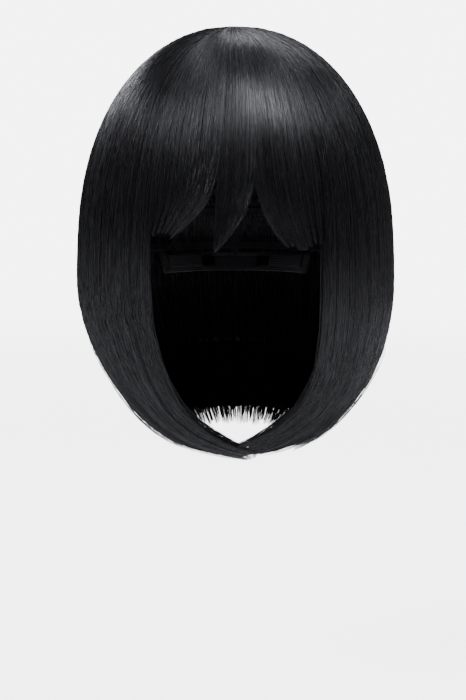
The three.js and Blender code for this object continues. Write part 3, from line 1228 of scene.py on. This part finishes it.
def strip(name, reach, polar, lift, round_edge):
    """A band of elastic on the cap between two azimuths and two polar angles."""
    shell = bpy.context.scene.wig_head
    wide = math.radians(reach[1] - reach[0]) * shell.nape
    tall = math.radians(polar[1] - polar[0]) * shell.nape
    across = max(4, int(reach[1] - reach[0]) // 2)

    def points(u, v, side):
        height = mix(*lift, side) * MM
        return on_shell(shell, mix(*reach, u), mix(*polar, v), height)

    return paint(slab(name, points, across, 2, (wide, tall), round_edge), "elastic")


def lines(name, rows):
    """Open lines of edges on the cap, as a guide for stitches: each row azimuth, polar, lift."""
    points, pairs = [], []
    for azimuth, polar, lift in rows:
        placed = on_shell(bpy.context.scene.wig_head, azimuth, polar, lift * MM).tolist()
        first = len(points)
        points += [tuple(point) for point in placed]
        pairs += [(first + i, first + i + 1) for i in range(len(placed) - 1)]
    mesh = bpy.data.meshes.new(name)
    mesh.from_pydata(points, pairs, [])
    return linked(name, mesh)


def stitches(name, rows, body="cap", pitch=0.0025):
    """Rows of sewing thread along lines on the cap."""
    guide = lines(name + "_lines", rows)
    values = {"Pitch": pitch, "Stitch": pitch * 0.8, "Material": material("thread")}
    piece = grown(name, guide, tree_of("stitches"), values)
    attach(piece, body)
    return piece


def crown_sheet(name, reach):
    """An open guide surface over the crown, out to a polar angle, in cells of one size."""
    shell = bpy.context.scene.wig_head
    steps = 2 * math.ceil(math.radians(reach) * shell.nape / NET_CELL)
    u, v = grid(steps, steps)
    x, y = reach * (2 * u - 1), reach * (2 * v - 1)
    polar = np.hypot(x, y)
    points = on_shell(shell, np.degrees(np.arctan2(x, y)), np.minimum(polar, reach), NET_LIFT)
    inside = [quad for quad in grid_faces(steps, steps) if polar[list(quad)].mean() < reach]
    return mesh_object(name, points, inside)


class WIG_OT_net(bpy.types.Operator):
    """Make the knitted net panels of the cap"""

    bl_idname = "wig.net"
    bl_label = "Cap net"

    def execute(self, context):
        shell = context.scene.wig_head
        rear = math.degrees(context.scene.wig_cut.back_reach)

        top = CROWN_NET_END + PANEL_GAP

        def side(u, v):
            # The lower edge clears the ear and drops behind it.
            edge = mix(92, 112, ease(u, 0.55, 1))
            return mix(BAND_REACH + PANEL_GAP, rear - PANEL_GAP, u), mix(top, edge, v)

        def other_side(u, v):
            azimuth, polar = side(1 - u, v)
            return -azimuth, polar

        def nape(u, v):
            inner = rear + PANEL_GAP
            return mix(inner, 360 - inner, u), mix(top, NAPE_NET_END, v)

        guides = {"crown_net": crown_sheet("crown_net_guide", CROWN_NET_END)}
        panels = {
            "nape_panel": (nape, 0.175, 0.095),
            "left_side_panel": (side, 0.100, 0.060),
            "right_side_panel": (other_side, 0.100, 0.060),
        }
        for name, (place, girth, drop) in panels.items():
            guides[name] = sheet(
                name + "_guide",
                lambda u, v, place=place: on_shell(shell, *place(u, v), NET_LIFT),
                int(girth / NET_CELL),
                int(drop / NET_CELL),
            )
        for name, guide in guides.items():
            values = {"Thread": THREAD, "Material": material("net")}
            piece = grown(f"{name}_netting", guide, tree_of("net"), values)
            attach(piece, "cap")
            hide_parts(name)
        return {"FINISHED"}


class WIG_OT_bands(bpy.types.Operator):
    """Make the front band, the nape band and the ribbons, with their stitching"""

    bl_idname = "wig.bands"
    bl_label = "Bands and ribbons"

    def execute(self, context):
        rear = math.degrees(context.scene.wig_cut.back_reach)
        bands = {
            "front_band": ((-BAND_REACH, BAND_REACH), (CROWN_NET_END + PANEL_GAP, 73)),
            "nape_band": ((rear, 360 - rear), (NAPE_NET_END + PANEL_GAP, 126)),
        }
        for name, (reach, polar) in bands.items():
            piece = strip(name + "_elastic", reach, polar, LIFTS["band"], 0.0005)
            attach(piece, "cap")
            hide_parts(name)
            azimuth = np.linspace(reach[0] + 1, reach[1] - 1, 60)
            edges = (polar[0] + 1, polar[1] - 1)
            faces = (SEWN["inside"], SEWN["band"])
            stitches(f"{name}_seams", [(azimuth, edge, lift) for edge in edges for lift in faces])
        self.ribbons(context.scene.wig_head)
        return {"FINISHED"}

    def ribbons(self, shell):
        half_width, start = 4 * MM, 14
        places = {"centre_back": 180, "left_back": 142, "right_back": 218}
        places |= {"left_front": 32, "right_front": -32}

        def half_span(polar):
            return np.degrees(half_width / (shell.nape * np.sin(np.radians(polar))))

        for place, centre in places.items():
            name = f"{place}_ribbon"
            end = NAPE_NET_END if place.endswith("back") else CROWN_NET_END

            def points(u, v, side, centre=centre, end=end):
                polar = mix(start, end, v)
                azimuth = centre + mix(-1, 1, u) * half_span(polar)
                return on_shell(shell, azimuth, polar, mix(*LIFTS["ribbon"], side) * MM)

            drop = math.radians(end - start) * shell.nape
            piece = slab(name + "_tape", points, 6, 40, (2 * half_width, drop), 0.0002)
            paint(piece, "elastic")
            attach(piece, "cap")
            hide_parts(name)
            polar = np.linspace(start + 1, end - 1, 60)
            edges = [centre + side * 0.75 * half_span(polar) for side in (1, -1)]
            stitches(f"{name}_seams", [(edge, polar, SEWN["ribbon"]) for edge in edges])


class WIG_OT_wefts(bpy.types.Operator):
    """Make the stitched headers of the wefts"""

    bl_idname = "wig.wefts"
    bl_label = "Weft headers"

    def execute(self, context):
        rows = {}
        for number, polar in enumerate((18, 30, 42, 54), 1):
            rows[f"crown_weft_{number}"] = ((0, 360), polar)
        for number, polar in enumerate((62, 69), 1):
            rows[f"fringe_weft_{number}"] = ((-50, 50), polar)
        for number, polar in enumerate((66, 78, 90, 102, 114), 1):
            rows[f"back_weft_{number}"] = ((112, 248), polar)
        for number, polar in enumerate((66, 78, 88), 1):
            rows[f"left_side_weft_{number}"] = ((55, 110), polar)
            rows[f"right_side_weft_{number}"] = ((-110, -55), polar)
        for name, (reach, polar) in rows.items():
            paint(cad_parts[name], "header")
            azimuth = np.linspace(reach[0] + 1, reach[1] - 1, 100)
            seam_rows = [(azimuth, polar + at, SEWN["weft"]) for at in (0.5, 1.2, 1.9)]
            seam = stitches(f"{name}_seams", seam_rows, pitch=0.004)
        return {"FINISHED"}


class WIG_OT_ears(bpy.types.Operator):
    """Make the ear tabs and their bendable stays"""

    bl_idname = "wig.ears"
    bl_label = "Ear tabs"

    def execute(self, context):
        shell = context.scene.wig_head
        for side, sign in SIDES.items():
            middle, body = sign * TAB_MIDDLE, f"{side}_ear"

            def tab(name, half_width, reach, lift, key, edge):
                def points(u, v, out):
                    azimuth = middle + mix(-1, 1, u) * half_width * (1 - TAB_NARROWS * v * v)
                    return on_shell(shell, azimuth, mix(*reach, v), mix(*lift, out) * MM)

                size = (math.radians(2 * half_width) * shell.half_width, 0.03)
                made = paint(slab(name, points, 10, 16, size, edge), key)
                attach(made, body)
                return made

            name, lift = f"{side}_ear_tab_elastic", LIFTS["band"]
            piece = tab(name, TAB_HALF_WIDTH, TAB_REACH, lift, "elastic", 0.0005)
            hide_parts(f"{side}_ear_tab")
            name, lift = f"{side}_ear_stay_strip", LIFTS["stay"]
            piece = tab(name, 1.8, (94.5, 107), lift, "stay", 0.0002)
            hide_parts(f"{side}_ear_stay")
            polar = np.linspace(TAB_REACH[0] + 1, TAB_REACH[1] - 1, 30)
            down = (polar - TAB_REACH[0]) / (TAB_REACH[1] - TAB_REACH[0])
            for edge, away in {"front": -0.82, "rear": 0.82}.items():
                azimuth = middle + away * TAB_HALF_WIDTH * (1 - TAB_NARROWS * down * down)
                stitches(f"{side}_ear_tab_{edge}_seam", [(azimuth, polar, SEWN["band"])], body)
        return {"FINISHED"}


def mirrored(reach, sign):
    """Two azimuths on the left, or the two that mirror them on the right."""
    return reach if sign > 0 else (360 - reach[1], 360 - reach[0])


class WIG_OT_adjusters(bpy.types.Operator):
    """Make the adjuster straps, their hooks and the hook loops"""

    bl_idname = "wig.adjusters"
    bl_label = "Adjusters"

    def execute(self, context):
        for side, sign in SIDES.items():
            reach = mirrored((130, 156), sign)
            piece = strip(f"{side}_adjuster_elastic", reach, (119.5, 124.5), LIFTS["strap"], 0.0003)
            ends = [on_shell(context.scene.wig_head, a, 122, 0.0) for a in reach]
            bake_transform(piece)
            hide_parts(f"{side}_adjuster_strap")

            paint(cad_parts[f"{side}_adjuster_hook"], "hook")

            reach = mirrored((158, 178.5), sign)
            tape = strip(f"{side}_hook_loop_tape", reach, (118.9, 120.3), LIFTS["loops"], 0.0002)
            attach(tape, "cap")
            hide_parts(f"{side}_hook_loops")
            azimuth = np.linspace(reach[0] + 0.5, reach[1] - 0.5, 30)
            row = (azimuth, 119.6, SEWN["loops"])
            stitches(f"{side}_hook_loop_seam", [row], pitch=0.0035)
        return {"FINISHED"}


class WIG_OT_scalp(bpy.types.Operator):
    """Give the scalp patch its knit and stitch it down"""

    bl_idname = "wig.scalp"
    bl_label = "Scalp patch"

    def execute(self, context):
        paint(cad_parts["scalp_patch"], "scalp")
        stitches("scalp_patch_seam", [(np.linspace(0, 358, 60), 9.3, SEWN["patch"])])
        return {"FINISHED"}


# ------------------------------------------------------------------------------- stage


class WIG_OT_stage(bpy.types.Operator):
    """Set up the floor, the soft lights and the camera"""

    bl_idname = "wig.stage"
    bl_label = "Studio"

    def execute(self, context):
        scene, studio = context.scene, context.scene.wig_studio
        ring = np.radians(np.arange(96) * 360 / 96)
        points = [(6 * math.cos(a), 6 * math.sin(a), studio.floor) for a in ring]
        floor = mesh_object("studio_floor", points, [tuple(range(96))])
        paint(floor, "floor")

        scene.world = bpy.data.worlds.new("Studio")
        scene.world.use_nodes = True
        tree = scene.world.node_tree
        tree.nodes.clear()
        pale = linear(scene.wig_colours.floor)
        dim = node(tree, "ShaderNodeBackground", {"Color": pale, "Strength": studio.ambient})
        bright = node(tree, "ShaderNodeBackground", {"Color": pale, "Strength": studio.backdrop})
        seen = node(tree, "ShaderNodeLightPath").outputs["Is Camera Ray"]
        both = node(tree, "ShaderNodeMixShader", {0: seen, 1: dim, 2: bright})
        node(tree, "ShaderNodeOutputWorld", {"Surface": both})

        for name, (azimuth, elevation, size, power) in self.softboxes(studio).items():
            light = bpy.data.lights.new(name, "AREA")
            light.shape = "RECTANGLE"
            light.size, light.size_y = size
            light.energy = power
            light.color = linear(scene.wig_colours.light)[:3]
            turn, rise = math.radians(azimuth), math.radians(elevation)
            level = math.cos(rise)
            towards = Vector((math.sin(turn) * level, -math.cos(turn) * level, math.sin(rise)))
            lamp = linked(name, light)
            lamp.location = Vector((0, 0, studio.middle)) + studio.away * towards
            lamp.rotation_euler = towards.to_track_quat("Z", "Y").to_euler()

        lens = bpy.data.cameras.new("Camera")
        lens.sensor_fit = "VERTICAL"
        lens.angle_y = studio.view
        lens.clip_start = 0.05
        camera = linked("Camera", lens)
        camera.location = (studio.aside, -studio.distance, studio.eye_level)
        aim = Vector((studio.aside, 0, studio.aim)) - camera.location
        camera.rotation_euler = aim.to_track_quat("-Z", "Y").to_euler()
        scene.camera = camera
        return {"FINISHED"}

    def softboxes(self, studio):
        """Each softbox's azimuth and elevation, its width and height, and its power."""
        return {
            "left_key_softbox": (46, 50, (0.8, 0.3), studio.key_power * 0.6),
            "right_key_softbox": (-52, 46, (0.8, 0.3), studio.key_power * 1.9),
            "top_softbox": (180, 78, (1.2, 1.2), studio.top_power),
            "left_softbox": (84, 45, (0.5, 0.6), studio.side_power * 0.9),
            "right_softbox": (-76, 42, (0.5, 0.7), studio.side_power * 1.5),
            "rear_softbox": (180, 46, (2.0, 0.4), studio.key_power * 1.6),
            "low_softbox": (0, -14, (1.0, 0.3), studio.low_power),
        }


# ------------------------------------------------------------------------------- add-on


OPERATORS = (
    WIG_OT_stage,
    WIG_OT_crown,
    WIG_OT_fringe,
    WIG_OT_sides,
    WIG_OT_back,
    WIG_OT_strays,
    WIG_OT_inner,
    WIG_OT_net,
    WIG_OT_bands,
    WIG_OT_wefts,
    WIG_OT_ears,
    WIG_OT_adjusters,
    WIG_OT_scalp,
)
GROUPS = {
    "wig_hair": WigShell,
    "wig_head": WigShell,
    "wig_cut": WigCut,
    "wig_fibre": WigFibre,
    "wig_colours": WigColours,
    "wig_studio": WigStudio,
}


class WIG_PT_panel(bpy.types.Panel):
    """Lists the wig's pieces"""

    bl_idname = "WIG_PT_panel"
    bl_label = "Bob costume wig"
    bl_space_type = "VIEW_3D"
    bl_region_type = "UI"
    bl_category = "Wig"

    def draw(self, context):
        for operator in OPERATORS:
            self.layout.operator(operator.bl_idname)


CLASSES = (WigShell, WigCut, WigFibre, WigColours, WigStudio, *OPERATORS, WIG_PT_panel)


def register():
    for cls in CLASSES:
        bpy.utils.register_class(cls)
    for name, group in GROUPS.items():
        setattr(bpy.types.Scene, name, bpy.props.PointerProperty(type=group))


def unregister():
    for name in GROUPS:
        delattr(bpy.types.Scene, name)
    for cls in reversed(CLASSES):
        bpy.utils.unregister_class(cls)


def main():
    register()
    for name, value in HEAD_SHELL.items():
        setattr(bpy.context.scene.wig_head, name, value)
    for operator in OPERATORS:
        group, name = operator.bl_idname.split(".")
        getattr(getattr(bpy.ops, group), name)()


if __name__ == "__main__":
    main()
